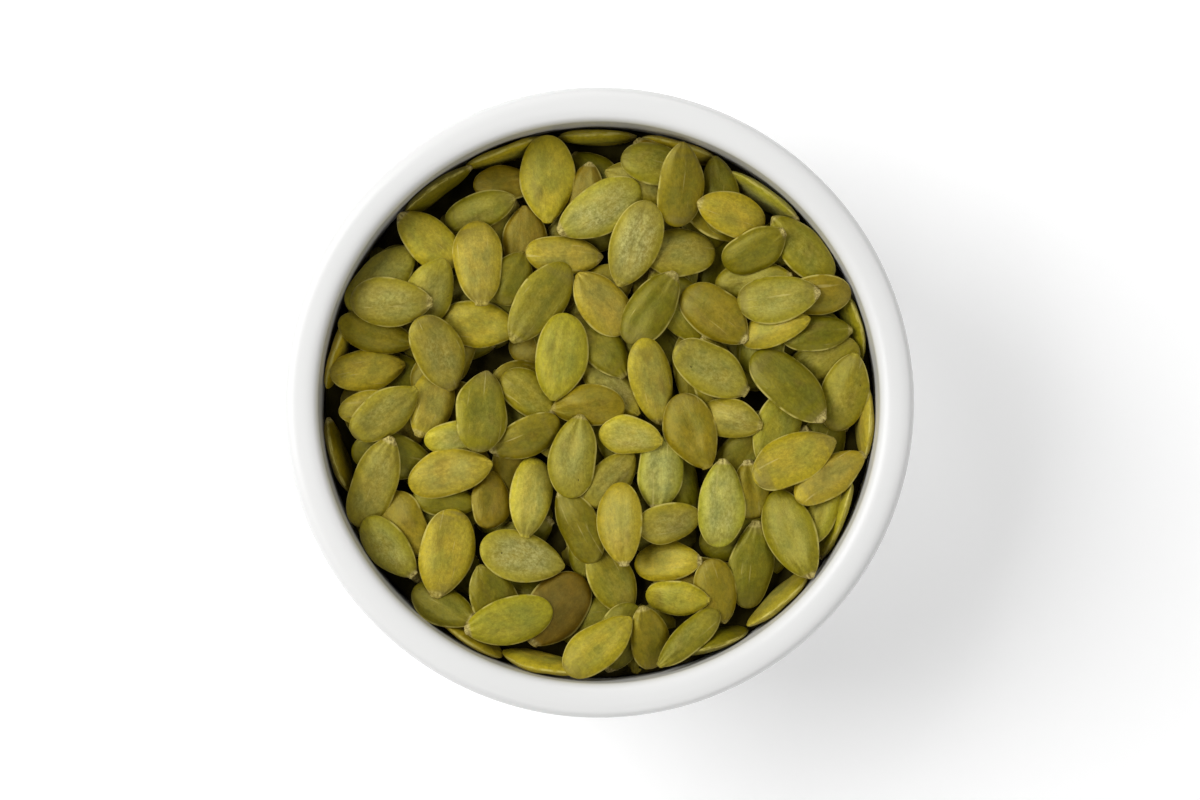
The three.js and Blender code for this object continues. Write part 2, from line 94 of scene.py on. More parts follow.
# The seeds on top, lowest first: pointed end x, y, blunt end x, y, width, and tint.
TOP_SEEDS = [
    (-9.9, 37, -21.1, 36.4, 6, "brown"),
    (1, 38.8, 13, 35, 6.5, "olive"),
    (-1.6, 40.3, -2.6, 28.5, 6.8, "brown"),
    (-31, -0.5, -43.4, -1.3, 5.5, "ochre"),
    (35.4, -23.9, 38.8, -12.5, 5.5, "lime"),
    (32.6, 21.3, 19.3, 19.8, 6, "moss"),
    (6.7, -2.2, -2.2, 7.6, 6.5, "olive"),
    (25, -9.5, 26, -19.5, 6.5, "umber"),
    (6, -8.5, -2, -17, 6.5, "olive"),
    (-20, -17, -31, -15.5, 5.5, "dark"),
    (-31.7, 26.4, -42.4, 15.7, 8.1, "olive"),
    (-13.8, 34.3, -25.8, 29.8, 6.2, "moss"),
    (-13.3, 12.3, -26.8, 13.9, 7.7, "yellow"),
    (-30, -6, -26.2, 5.4, 7.4, "ochre"),
    (-27.7, -10.3, -41.3, -7.6, 8, "dark"),
    (-16.4, -5, -29.2, -6.3, 5.6, "pale"),
    (-29.1, -25.7, -35.8, -15.3, 8, "umber"),
    (-21.6, -37.7, -32.2, -32.1, 6.8, "dark"),
    (-20.1, -26.9, -15, -38.7, 7.8, "dark"),
    (-11.5, -40.4, -2.9, -28.8, 9.2, "russet"),
    (-12.2, 33, -12.6, 21.5, 7.4, "brown"),
    (-12.6, 25.2, -16.5, 16.3, 6.5, "dark"),
    (4.7, 4.3, -4.3, 14.6, 7, "dark"),
    (0.9, 24.2, -12.4, 25, 6.4, "ochre"),
    (15.4, 38.3, 3.7, 41, 7.2, "moss"),
    (29.1, 31.2, 38.9, 20.4, 7.1, "moss"),
    (19.9, 41.9, 21, 28.7, 6.4, "dark"),
    (6.3, 25.1, 19.6, 25, 8.1, "olive"),
    (30, 17.8, 42.1, 18.3, 6.6, "umber"),
    (42.4, 12.1, 30.2, 11.4, 6.2, "dark"),
    (35.3, 14.3, 23.6, 10.4, 5.6, "yellow"),
    (-7.6, -2.2, -16, 4.8, 6.9, "moss"),
    (-8.1, -0.8, 4.4, -0.4, 6.6, "umber"),
    (9.9, -18.2, 10.4, -5.5, 7.7, "mint"),
    (10.7, -6.3, 0, -4.8, 6.4, "pale"),
    (17.5, -18.9, 6.2, -20.9, 6.7, "olive"),
    (5.3, -35.4, -0.8, -24.7, 7.3, "moss"),
    (1.3, -45.2, 5.6, -33.4, 7.5, "dark"),
    (26.4, -19.6, 24.7, -34.5, 7.3, "dark"),
    (44.6, -8.3, 32.6, -16.3, 6.6, "ochre"),
    (42.9, 8.4, 39.2, -4.7, 7.8, "moss"),
    (27.3, -10.6, 31.9, 1.5, 7.5, "moss"),
    (27.4, -4, 17, -1.5, 6.5, "olive"),
    (-18.2, -8.4, -6.5, -3.1, 6.3, "umber"),
    (20.9, -37, 18.4, -26.1, 6.8, "umber"),
    (-6.4, -14.2, -0.5, -26.6, 6.8, "dark"),
    (-32.2, 6.4, -45, 4.5, 7.1, "yellow"),
    (-30.7, 9.6, -43.6, 13.4, 6.2, "umber"),
    (-33.4, 31.6, -23.9, 22.8, 7.6, "yellow"),
    (-25.5, 24.1, -31, 12.8, 8, "olive"),
    (-27.5, 16.6, -41.4, 16.9, 7.9, "olive"),
    (-19.5, 15.8, -20.7, 30.6, 8.2, "ochre"),
    (-8.6, 29.9, -8.7, 44.8, 8.9, "yellow"),
    (-24, 1.9, -29.7, 14.5, 8.3, "olive"),
    (-14.6, 10, -5.3, 23.2, 8, "moss"),
    (-30.1, 2.2, -40.9, -5.5, 7.1, "olive"),
    (-34.1, -5.4, -40.5, -20.9, 7.6, "olive"),
    (-17.6, -11.3, -18.5, -21.2, 6.6, "brown"),
    (-17.7, -9.9, -31.8, -13.5, 7.8, "ochre"),
    (-18.7, 5.6, -20.4, -8.4, 8.6, "moss"),
    (-31.6, -29.5, -40, -19.9, 6.9, "olive"),
    (-27.1, -32.6, -23.6, -17.8, 9, "yellow"),
    (-22.4, -38, -7.6, -34.5, 7.9, "lime"),
    (-5.5, -27.6, -20, -23.8, 8.4, "grey"),
    (-12.3, -22.8, -10.6, -8.9, 7.1, "pale"),
    (-7.4, 0.2, -5.3, 14.9, 8.6, "lime"),
    (-3.6, 21.6, 4.5, 11.7, 8, "ochre"),
    (-6.8, 28.3, 6.9, 36.2, 8.1, "grey"),
    (3.3, 19.2, 8.6, 33.6, 8, "grey"),
    (12.8, 21.8, 4.7, 9.9, 7.4, "dark"),
    (14.1, 43.6, 13.1, 29.1, 7.9, "umber"),
    (16.3, 33.6, 27.8, 29.4, 7.2, "yellow"),
    (31.3, 28.5, 20.9, 22.6, 7, "dark"),
    (24.9, 10.4, 14.1, 18.8, 8.2, "umber"),
    (37, 18.1, 23, 16.5, 7.9, "olive"),
    (24.9, 1.6, 12.6, 9.3, 8, "olive"),
    (10.4, -4, 7.2, 10.9, 7, "ochre"),
    (-3.2, -1.9, -5.2, -15.9, 7.9, "olive"),
    (18.1, -11.1, 12.9, 1.3, 8.4, "umber"),
    (4, -27.3, 3.2, -13.2, 7.5, "ochre"),
    (20.8, -9.3, 19.9, -24.2, 7.7, "mint"),
    (17.5, -26.2, 5.8, -27, 6.6, "yellow"),
    (18.7, -33, 7.6, -32.3, 5.9, "yellow"),
    (7.3, -33.6, 9.3, -44.6, 6.8, "umber"),
    (5.5, -35.8, -5.5, -44.9, 7.4, "yellow"),
    (9.8, -44, 20.1, -34.5, 5, "moss"),
    (35.3, -29.5, 29, -14.7, 8.3, "moss"),
    (39.5, -6, 25.5, -12.8, 8.1, "yellow"),
    (37.8, -3, 25.9, 8.4, 8.5, "dark"),
]

# Where seeds stand on edge against the wall, in degrees round from +X, and their tint.
LEANING_SEEDS = [
    (17, "moss"),
    (51, "mint"),
    (72, "yellow"),
    (90, "yellow"),
    (110, "yellow"),
    (127, "dark"),
    (168, "yellow"),
    (191, "umber"),
    (240, "yellow"),
    (257, "yellow"),
    (295, "dark"),
    (312, "ochre"),
    (333, "lime"),
    (356, "ochre"),
]

# ---------------------------------------------------------------- how one seed differs from the next

# Linear colours of a seed's face, by tint.
TINTS = {
    "olive": (0.255, 0.213, 0.034),
    "yellow": (0.350, 0.280, 0.030),
    "lime": (0.308, 0.270, 0.030),
    "pale": (0.410, 0.340, 0.061),
    "moss": (0.216, 0.188, 0.014),
    "grey": (0.297, 0.253, 0.056),
    "mint": (0.305, 0.295, 0.070),
    "ochre": (0.336, 0.264, 0.043),
    "umber": (0.192, 0.146, 0.007),
    "brown": (0.182, 0.127, 0.006),
    "russet": (0.122, 0.074, 0.007),
    "dark": (0.138, 0.118, 0.003),
}
# The loose seeds lie under the top ones and show in the gaps. They get mostly the darkest tints as
# painted shade, darker than the seeds' own mix of colours.
LOOSE_SHADE_TINTS = ("dark", "umber", "dark", "moss", "dark", "brown", "dark", "umber")  # in turn

# Each seed's colour is its tint's times a number between the SHADES, and its red, green and blue are
# each multiplied by another between the HUES.
SHADES = (0.93, 1.07)
HUES = (0.97, 1.03)

# How powdery the middle of a seed's face is, by tint, and what part of that a single seed has.
DUSTINESS = {"grey": 1.0, "mint": 0.9, "pale": 0.5, "olive": 0.3, "moss": 0.15}
LEAST_DUST = 0.04
DUST_SHARE = (0.6, 1.1)

# How much husk is left at a seed's tip. A draw from HUSKINESS is raised to the least or cut to 1.
HUSKINESS = (-0.4, 1.2)
LEAST_HUSK = 0.1

# The joined meshes, and the tints of the seeds in each.
KINDS = {
    "seeds_olive": ("olive",),
    "seeds_dark": ("dark",),
    "seeds_green": ("moss", "lime"),
    "seeds_yellow": ("yellow", "pale", "ochre"),
    "seeds_grey_green": ("grey", "mint"),
    "seeds_brown": ("umber", "brown", "russet"),
}

# ---------------------------------------------------------------- how the seeds come to rest

MAP_CELL = 0.5  # of the map that holds the height of what has been laid so far
MAP_HALF = math.ceil(RIM_RADIUS / MAP_CELL)
MAP_SIDE = 2 * MAP_HALF + 1
PLACE_STEP = 1e-4  # resting places are rounded to this
WALL_DIRECTIONS = 24  # in which a seed is tested against the wall
WALL_PASSES = 3
FIRST_TURN = 0.2  # a seed rocks by this angle first, in radians, then by half of it and so on
LAST_TURN = 0.01
LEAST_FALL = 1e-6

FIRST_STATE = 20465
STATE_FACTOR = 16807
STATE_RANGE = 2147483647


class Draw:
    """A seeded row of random numbers, the same as in the solids' source."""

    def __init__(self, state):
        self.state = state

    def next(self):
        self.state = self.state * STATE_FACTOR % STATE_RANGE
        return self.state / STATE_RANGE

    def between(self, low, high):
        return low + (high - low) * self.next()


draw = Draw(FIRST_STATE)
heights = np.empty((MAP_SIDE, MAP_SIDE))
owners = np.full((MAP_SIDE, MAP_SIDE), -1)
seeds = []


def axes_of(seed):
    """The seed's own axes: along it to the pointed end, across it, and through it."""
    ch, sh = math.cos(seed["heading"]), math.sin(seed["heading"])
    cp, sp = math.cos(seed["pitch"]), math.sin(seed["pitch"])
    cr, sr = math.cos(seed["roll"]), math.sin(seed["roll"])
    return (
        (ch * cp, sh * cp, sp),
        (-sh * cr - ch * sp * sr, ch * cr - sh * sp * sr, cp * sr),
        (sh * sr - ch * sp * cr, -ch * sr - sh * sp * cr, cp * cr),
    )


def half_sizes(seed):
    return seed["length"] / 2, seed["width"] / 2, seed["thickness"] / 2


def product(axes, weights, i, j):
    return sum(axis[i] * axis[j] * weight for axis, weight in zip(axes, weights))


def footprint(seed):
    """The map cells under a seed: their window, which of them it covers, and its two surfaces."""
    axes = axes_of(seed)
    sizes = half_sizes(seed)
    inverse = [1 / (size * size) for size in sizes]
    squares = [size * size for size in sizes]
    xx, xy, yy = (product(axes, inverse, *term) for term in ((0, 0), (0, 1), (1, 1)))
    xz, yz, zz = (product(axes, inverse, *term) for term in ((0, 2), (1, 2), (2, 2)))
    reach_x = math.sqrt(product(axes, squares, 0, 0))
    reach_y = math.sqrt(product(axes, squares, 1, 1))
    i = np.arange(
        math.ceil((seed["x"] - reach_x) / MAP_CELL), math.floor((seed["x"] + reach_x) / MAP_CELL) + 1
    )
    j = np.arange(
        math.ceil((seed["y"] - reach_y) / MAP_CELL), math.floor((seed["y"] + reach_y) / MAP_CELL) + 1
    )
    dx = (i * MAP_CELL - seed["x"])[None, :]
    dy = (j * MAP_CELL - seed["y"])[:, None]
    slope = xz * dx + yz * dy
    inside = slope * slope - zz * (xx * dx * dx + 2 * xy * dx * dy + yy * dy * dy - 1)
    covered = inside > 0
    root = np.sqrt(np.where(covered, inside, 0))
    window = (
        slice(j[0] + MAP_HALF, j[-1] + MAP_HALF + 1),
        slice(i[0] + MAP_HALF, i[-1] + MAP_HALF + 1),
    )
    return window, covered, (-slope - root) / zz, (-slope + root) / zz


def resting_height(seed):
    window, covered, below, _ = footprint(seed)
    return float((heights[window] - below)[covered].max())


def keep_inside(seed):
    """Moves a seed inward until its outline, seen from above, is clear of the wall."""
    room = (INNER_RADIUS - FIT_GAP) * math.cos(math.pi / BOWL_SIDES)
    squares = [size * size for size in half_sizes(seed)]
    axes = axes_of(seed)
    xx, xy, yy = (product(axes, squares, *term) for term in ((0, 0), (0, 1), (1, 1)))
    for _ in range(WALL_PASSES):
        for k in range(WALL_DIRECTIONS):
            turn = 2 * math.pi * k / WALL_DIRECTIONS
            nx, ny = math.cos(turn), math.sin(turn)
            spread = nx * nx * xx + 2 * nx * ny * xy + ny * ny * yy
            over = nx * seed["x"] + ny * seed["y"] + math.sqrt(spread) - room
            if over > 0:
                seed["x"] -= nx * over
                seed["y"] -= ny * over


def settle(seed, tilt_limit):
    """Rocks a seed about its length and its width until its middle is as low as it gets."""
    keep_inside(seed)
    best = dict(seed, z=resting_height(seed))
    turn = FIRST_TURN
    while turn > LAST_TURN:
        moved = True
        while moved:
            moved = False
            for dp, dr in ((turn, 0), (-turn, 0), (0, turn), (0, -turn)):
                tried = dict(best, pitch=best["pitch"] + dp, roll=best["roll"] + dr)
                if max(abs(tried["pitch"]), abs(tried["roll"])) > tilt_limit:
                    continue
                keep_inside(tried)
                tried["z"] = resting_height(tried)
                if tried["z"] < best["z"] - LEAST_FALL:
                    best = tried
                    moved = True
        turn /= 2
    return best


def lay(seed):
    seed["z"] -= PRESSED_IN
    for key in ("x", "y", "z", "heading", "pitch", "roll"):
        seed[key] = math.floor(seed[key] / PLACE_STEP + 0.5) * PLACE_STEP
    window, covered, _, above = footprint(seed)
    higher = covered & (seed["z"] + above > heights[window])
    heights[window] = np.where(higher, seed["z"] + above, heights[window])
    owners[window] = np.where(higher, len(seeds), owners[window])
    seeds.append(seed)


def any_size():
    size = draw.between(1 - SIZE_SPREAD, 1 + SIZE_SPREAD)
    return {
        "length": SEED_LENGTH * size,
        "width": SEED_WIDTH * size * draw.between(1 - SIZE_SPREAD, 1 + SIZE_SPREAD / 2),
        "thickness": SEED_THICKNESS,
    }


def lay_leaning_seeds():
    """Seeds stood on edge, their length along the wall and their upper edge against it."""
    for degrees, tint in LEANING_SEEDS:
        bearing = math.radians(degrees)
        seed = dict(
            any_size(),
            tint=tint,
            x=INNER_RADIUS * math.cos(bearing),
            y=INNER_RADIUS * math.sin(bearing),
            heading=bearing - math.pi / 2 + draw.between(-LEANING_SWING, LEANING_SWING),
            pitch=draw.between(-LEANING_PITCH, LEANING_PITCH),
            roll=draw.between(*LEANING_ROLL),
        )
        keep_inside(seed)
        seed["z"] = resting_height(seed)
        lay(seed)


def lay_loose_seeds():
    for _ in range(LOOSE_SEEDS):
        size = dict(any_size(), tint=LOOSE_SHADE_TINTS[len(seeds) % len(LOOSE_SHADE_TINTS)])
        lowest = None
        for _ in range(CANDIDATES):
            bearing = draw.between(0, 2 * math.pi)
            reach = INNER_RADIUS * math.sqrt(draw.next())
            seed = dict(
                size,
                x=reach * math.cos(bearing),
                y=reach * math.sin(bearing),
                heading=draw.between(0, 2 * math.pi),
                pitch=0,
                roll=0,
            )
            keep_inside(seed)
            seed["z"] = resting_height(seed)
            if lowest is None or seed["z"] < lowest["z"] - LEAST_FALL:
                lowest = seed
        lay(settle(lowest, LYING_TILT))


def lay_top_seeds():
    for tip_x, tip_y, butt_x, butt_y, width, tint in TOP_SEEDS:
        seed = {
            "length": math.hypot(tip_x - butt_x, tip_y - butt_y),
            "width": width,
            "thickness": SEED_THICKNESS,
            "x": (tip_x + butt_x) / 2,
            "y": (tip_y + butt_y) / 2,
            "heading": math.atan2(tip_y - butt_y, tip_x - butt_x),
            "pitch": 0,
            "roll": 0,
            "tint": tint,
        }
        lay(settle(seed, TOP_TILT))


def lay_all_seeds():
    """Lays the seeds and lifts the heap to its height. Returns the height of its bed at the middle."""
    across = (np.arange(MAP_SIDE) - MAP_HALF) * MAP_CELL
    heights[:] = -HEAP_SLOPE * across[:, None]
    lay_leaning_seeds()
    lay_loose_seeds()
    lay_top_seeds()
    bed = BOWL_HEIGHT - HEAP_CLEARANCE - float(heights.max())
    for seed in seeds:
        seed["z"] += bed
    return bed


def detail_of(number):
    """How many points a seed gets along it and around it."""
    showing = np.count_nonzero(owners == number) * MAP_CELL**2
    if showing < LEAST_SHOWING:
        return BURIED_DETAIL
    if number < len(seeds) - len(TOP_SEEDS):
        return COVERED_DETAIL
    return TOP_DETAIL


# ---------------------------------------------------------------- the shape of a seed

# A place along a seed runs from -1 at its blunt end to 1 at its tip, and one across it from -1 to 1.
# Where nothing else is said, a size is a share of half the seed's own length, width or thickness.

SEED_TAPER = 0.1  # how much narrower the half towards the tip is
TIP_FULLNESS = 0.7  # 0.5 gives a round end, more a pointed one
BUTT_FULLNESS = 0.52
LENGTH_FLATNESS = 2.6  # of a face, from end to end: 2 gives an oval, more a flatter middle
LENGTH_FULLNESS = 0.55
WIDTH_FLATNESS = 2.8  # of a face, from side to side
WIDTH_FULLNESS = 0.6
THINNING = 0.2  # how fast the seed gets thinner towards its tip
THINNING_START = 0.5

NUB_START = (0.88, 0.95)  # where the blunt nub starts by which the seed grew
NUB_WIDTH = (0.1, 0.26)
NUB_THICKNESS = 0.3
NUB_SQUARENESS = 4  # 2 gives a round end, more a blunter one
HUSK_LEAD = 0.08  # how far before the nub the scrap of husk on it starts
HUSK_FADE = 0.05

LIP = 0.12  # how far the fine edge line stands out, in mm
LIP_START = 0.965  # where it starts, across the seed
LIP_RISE = 0.015
LIP_LEAST_WIDTH = 0.5  # the narrower the seed is than this, the lower is the lip

WAVER = 0.05  # how uneven the outline is
WAVER_TURNS = 0.9  # its quickest waves from the seed's middle to an end
RIPPLE = 0.045  # height of the lengthwise ripples, in mm
RIPPLE_SIZE = (22, 1.9)  # of the quickest waves along and across the seed, in mm
DENT = 0.16  # depth of the shallow dents, in mm
DENT_SIZE = (7, 6)
PLEAT = 0.16  # height of the folds that run together at the tip, in mm
PLEATS = 3.5  # waves from one side to the other
PLEAT_TURNS = 0.3
PLEATED = 0.45  # how far they reach from the tip
CREASE = 0.1  # height or depth of the ridge or furrow along the middle, in mm
CREASE_OFFSET = 0.2
CREASE_SPREAD = 0.06  # the square of how broad it is
RELIEF_FADE = 0.3  # how much sooner than the thickness the relief falls off towards the edge
UNDERSIDE = 3.7  # shifts the waves of the lower face, which then differ from the upper one's

BEND = 0.35  # how far a seed's ends curl up or down from its middle at most, in mm
SWAY = 0.4  # how far a seed curves sideways at most, in mm
COUNTER_BEND = 0.35  # the part of a bend by which the seed's middle moves the other way
TWIST = 0.1  # radians at each end, at most

MARGIN_SQUARENESS = 6  # of the lines round a face along which its colour stays the same
GRAIN_STEP = 7.3  # from one seed's layer of the noise to the next one's
GRAIN_FACES = 3.1  # from the middle of a seed to the layers of its two faces

# Points along and around a seed that lies on top, one that others partly cover, and a buried one.
TOP_DETAIL = (56, 60)
COVERED_DETAIL = (36, 40)
BURIED_DETAIL = (16, 18)


def fade_out(along, start):
    """1 up to start, then down to 0 at the very end, as a rounded corner."""
    passed = np.maximum(0, (along - start) / (1 - start))
    return np.sqrt(np.maximum(0, 1 - passed**NUB_SQUARENESS))


def width_at(along, nub_start, nub_width):
    """Half the width of a seed, as a share of half its greatest width."""
    fullness = np.where(along > 0, TIP_FULLNESS, BUTT_FULLNESS)
    body = np.maximum(0, 1 - along**2) ** fullness * (1 - SEED_TAPER * along)
    nub = nub_width * fade_out(along, nub_start)
    return np.where(along > 0, np.maximum(body, nub), body)


def thickness_at(along, nub_start):
    """Half the thickness of a seed along its middle line, as a share of half its greatest thickness."""
    body = np.maximum(0, 1 - np.abs(along) ** LENGTH_FLATNESS) ** LENGTH_FULLNESS
    thinned = body * (1 - THINNING * (along - THINNING_START))
    nub = NUB_THICKNESS * fade_out(along, nub_start)
    return np.where(along > THINNING_START, np.maximum(thinned, nub), body)


def waves(random, u, v, count, quickest=1):
    """A smooth random height from -1 to 1 or so. Its waves turn up to quickest times along u."""
    total = np.zeros(np.broadcast(u, v).shape)
    for _ in range(count):
        ku = random.uniform(-quickest, quickest)
        kv = random.uniform(-1, 1)
        total += np.sin(2 * np.pi * (ku * u + kv * v) + random.uniform(0, 2 * np.pi))
    return total / math.sqrt(count)


def relief_of(random, x, y, along, across, face):
    """How far a seed's face stands out at each point, in mm."""
    ripples = waves(random, x / RIPPLE_SIZE[0], y / RIPPLE_SIZE[1] + face, count=5)
    dents = waves(random, x / DENT_SIZE[0] + face, y / DENT_SIZE[1], count=4)
    pleats = waves(random, across / 2, along * PLEAT_TURNS + face, count=3, quickest=PLEATS)
    near_tip = np.exp(-(((1 - along) / PLEATED) ** 2))
    off_crease = across - random.uniform(-CREASE_OFFSET, CREASE_OFFSET)
    crease = random.normal() * CREASE * np.exp(-(off_crease**2) / CREASE_SPREAD) * (1 - along**2)
    return ripples * RIPPLE + dents * DENT + pleats * PLEAT * near_tip + crease


def seed_faces(rings, sides):
    """Four-sided faces of the rings of a seed, and the fans that close its two ends."""
    ring = np.arange(rings - 2)[:, None] * sides
    here = np.arange(sides)
    after = (here + 1) % sides
    quads = np.stack([ring + here, ring + sides + here, ring + sides + after, ring + after], -1)
    butt = np.full(sides, (rings - 1) * sides)
    tip = butt + 1
    last = (rings - 2) * sides
    fans = [np.stack([butt, here, after], -1), np.stack([tip, last + after, last + here], -1)]
    return quads.reshape(-1, 4), np.concatenate(fans)


def seed_looks(random, seed, number, local):
    """The attributes that the seeds' material reads, for each corner of a seed."""
    tint = np.array(TINTS[seed["tint"]]) * random.uniform(*SHADES) * random.uniform(*HUES, 3)
    dusty = DUSTINESS.get(seed["tint"], LEAST_DUST) * random.uniform(*DUST_SHARE)
    scarred = random.uniform(0, 1)
    husky = np.clip(random.uniform(*HUSKINESS), LEAST_HUSK, 1)
    layer = number * GRAIN_STEP + GRAIN_FACES * np.sign(local[:, 2:])
    return {
        "tint": np.tile(np.append(tint, 1), (len(local), 1)),
        "grain": np.column_stack([local[:, :2], layer]),
        "habit": np.tile((dusty, scarred, husky), (len(local), 1)),
    }


def make_seed(seed, number):
    """Corners, faces and attributes of one seed. All its points but two lie on rings round it."""
    random = np.random.default_rng(number)
    rings, sides = detail_of(number)
    a, b, c = half_sizes(seed)
    steps = np.arange(1, rings)[:, None] * np.pi / rings
    turns = 2 * np.pi * np.arange(sides)[None, :] / sides
    along, across = np.broadcast_arrays(-np.cos(steps), np.cos(turns))
    bulge = np.maximum(0, 1 - np.abs(across) ** WIDTH_FLATNESS) ** WIDTH_FULLNESS
    up = np.sign(np.sin(turns)) * bulge
    lip = np.clip((np.abs(across) - LIP_START) / LIP_RISE, 0, 1)

    # The outline and the two faces.
    nub_start = random.uniform(*NUB_START)
    wide = width_at(along, nub_start, random.uniform(*NUB_WIDTH))
    thick = thickness_at(along, nub_start)
    waver = 1 + WAVER * waves(random, along * WAVER_TURNS, np.sign(across) / 2, count=3)
    x = a * along
    lip_height = LIP * lip * np.clip(wide / LIP_LEAST_WIDTH, 0, 1)
    y = wide * b * across * waver + lip_height * np.sign(across)
    face = np.where(up < 0, UNDERSIDE, 0)
    relief = relief_of(random, x, y, along, across, face)
    z = thick * up * (c + relief * np.abs(up) ** RELIEF_FADE)

    # The whole seed bent, curved sideways and twisted.
    curl = random.uniform(-BEND, BEND)
    arch = along**2 - COUNTER_BEND
    z = z + curl * arch
    y = y + random.uniform(-SWAY, SWAY) * arch
    twist = random.uniform(-TWIST, TWIST) * along
    y, z = y * np.cos(twist) - z * np.sin(twist), y * np.sin(twist) + z * np.cos(twist)

    end_height = curl * (1 - COUNTER_BEND)
    ends = [[-a, 0, end_height], [a, 0, end_height]]
    local = np.concatenate([np.stack([x, y, z], -1).reshape(-1, 3), ends])

    # Where each point lies on the seed, for its colours.
    squared = np.abs(along) ** MARGIN_SQUARENESS + np.abs(across) ** MARGIN_SQUARENESS
    margin = np.clip(squared ** (1 / MARGIN_SQUARENESS), 0, 1)
    at_tip = np.clip((along - nub_start + HUSK_LEAD) / HUSK_FADE, 0, 1)
    end_places = [[1, 0, 1], [1, 1, 0]]

    quads, fans = seed_faces(rings, sides)
    return {
        "corners": local @ np.array(axes_of(seed)) + (seed["x"], seed["y"], seed["z"]),
        "quads": quads,
        "fans": fans,
        "place": np.concatenate([np.stack([margin, at_tip, lip], -1).reshape(-1, 3), end_places]),
        **seed_looks(random, seed, number, local),
    }


# ---------------------------------------------------------------- meshes

LATHE_TURNS = 192

# The attributes of the seeds' corners, with Blender's name of their kind and of their values.
ATTRIBUTES = {
    "tint": ("FLOAT_COLOR", "color"),
    "grain": ("FLOAT_VECTOR", "vector"),
    "place": ("FLOAT_VECTOR", "vector"),
    "habit": ("FLOAT_VECTOR", "vector"),
}


def add_piece(name, corners, faces):
    """A smooth mesh object, from corners in millimetres."""
    mesh = bpy.data.meshes.new(name)
    mesh.from_pydata(corners * MM, [], faces)
    mesh.polygons.foreach_set("use_smooth", np.ones(len(mesh.polygons), bool))
    mesh.update()
    piece = bpy.data.objects.new(name, mesh)
    bpy.context.collection.objects.link(piece)
    return piece


def join(name, shaped):
    """One mesh object of many seeds, with their attributes."""
    offset = 0
    faces = []
    for one in shaped:
        faces += (one["quads"] + offset).tolist() + (one["fans"] + offset).tolist()
        offset += len(one["corners"])
    piece = add_piece(name, np.concatenate([one["corners"] for one in shaped]), faces)
    for attribute, (kind, field) in ATTRIBUTES.items():
        values = np.concatenate([one[attribute] for one in shaped]).astype(np.float32)
        piece.data.attributes.new(attribute, kind, "POINT").data.foreach_set(field, values.reshape(-1))
    return piece


def lathe(name, profile):
    """A closed round mesh from a profile of radius and height that starts and ends on the axis."""
    turns = 2 * np.pi * np.arange(LATHE_TURNS) / LATHE_TURNS
    radii, levels = np.hsplit(profile[1:-1], 2)
    rings = [radii * np.cos(turns), radii * np.sin(turns), levels * np.ones(LATHE_TURNS)]
    corners = np.stack(rings, -1).reshape(-1, 3)
    ends = [[0, 0, profile[0][1]], [0, 0, profile[-1][1]]]
    ring = np.arange(len(radii) - 1)[:, None] * LATHE_TURNS
    here = np.arange(LATHE_TURNS)
    after = (here + 1) % LATHE_TURNS
    outer = ring + LATHE_TURNS
    quads = np.stack([ring + here, ring + after, outer + after, outer + here], -1)
    first = np.full(LATHE_TURNS, len(corners))
    last = first + 1
    top = (len(radii) - 1) * LATHE_TURNS
    lower = np.stack([first, after, here], -1)
    upper = np.stack([last, top + here, top + after], -1)
    fans = np.stack([lower, upper], 1)
    faces = quads.reshape(-1, 4).tolist() + fans.reshape(-1, 3).tolist()
    return add_piece(name, np.concatenate([corners, ends]), faces)


# ---------------------------------------------------------------- the bowl and the bed of the heap

BOWL_CURVE_STEPS = 28
RIM_STEPS = 48
FOOT_STEPS = 8
RECESS_SLOPE = (2, 0.1)  # where the recess starts to slope, inward of the ring, and how far it falls


def rounded_wall(radius, top, end_radius, bottom):
    """From upright at (radius, top) to level at (end_radius, bottom)."""
    turns = np.linspace(0, np.pi / 2, BOWL_CURVE_STEPS)
    return np.column_stack(
        [end_radius + (radius - end_radius) * np.cos(turns), top - (top - bottom) * np.sin(turns)]
    )


def inner_wall(gap):
    return rounded_wall(
        INNER_RADIUS - gap, BOWL_HEIGHT - INNER_STRAIGHT, FLOOR_RADIUS, FLOOR_HEIGHT + gap
    )


def rim_profile():
    turns = np.linspace(0, np.pi, RIM_STEPS)
    across = np.sign(np.cos(turns)) * np.abs(np.cos(turns)) ** RIM_SQUARENESS
    up = np.abs(np.sin(turns)) ** RIM_SQUARENESS
    return np.column_stack(
        [RIM_RADIUS - RIM_WIDTH / 2 * (1 - across), BOWL_HEIGHT - RIM_ROUNDING * (1 - up)]
    )


def foot_profile():
    inside = FOOT_RADIUS - FOOT_WIDTH
    bend = np.linspace(0, np.pi / 2, FOOT_STEPS)
    corner = FOOT_BEVEL * np.column_stack([np.sin(bend), 1 - np.cos(bend)])
    inner = np.column_stack([inside + FOOT_BEVEL - corner[::-1, 0], corner[::-1, 1]])
    outer = np.column_stack([FOOT_RADIUS - FOOT_BEVEL + corner[:, 0], corner[:, 1]])
    recess = [
        [0, FOOT_RECESS],
        [inside - RECESS_SLOPE[0], FOOT_RECESS],
        [inside - FOOT_BEVEL, FOOT_RECESS - RECESS_SLOPE[1]],
    ]
    return np.concatenate([recess, inner, outer])


def make_bowl():
    outside = rounded_wall(RIM_RADIUS, BOWL_HEIGHT - OUTER_STRAIGHT, FOOT_RADIUS, FOOT_HEIGHT)
    centre = [[0, FLOOR_HEIGHT]]
    profile = np.concatenate([foot_profile(), outside[::-1], rim_profile(), inner_wall(0), centre])
    return lathe("bowl_glazed", profile)


BED_RISE = 1.2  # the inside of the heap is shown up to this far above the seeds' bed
BED_RINGS = 40
BED_BUMP = 0.9
BED_WAVES = ((1.1, 0.7, 0), (-0.5, 0.9, 1))  # radians for each mm along x and y, and at the middle


def bed_bump(x, y):
    return math.prod(math.sin(kx * x + ky * y + start) for kx, ky, start in BED_WAVES) * BED_BUMP


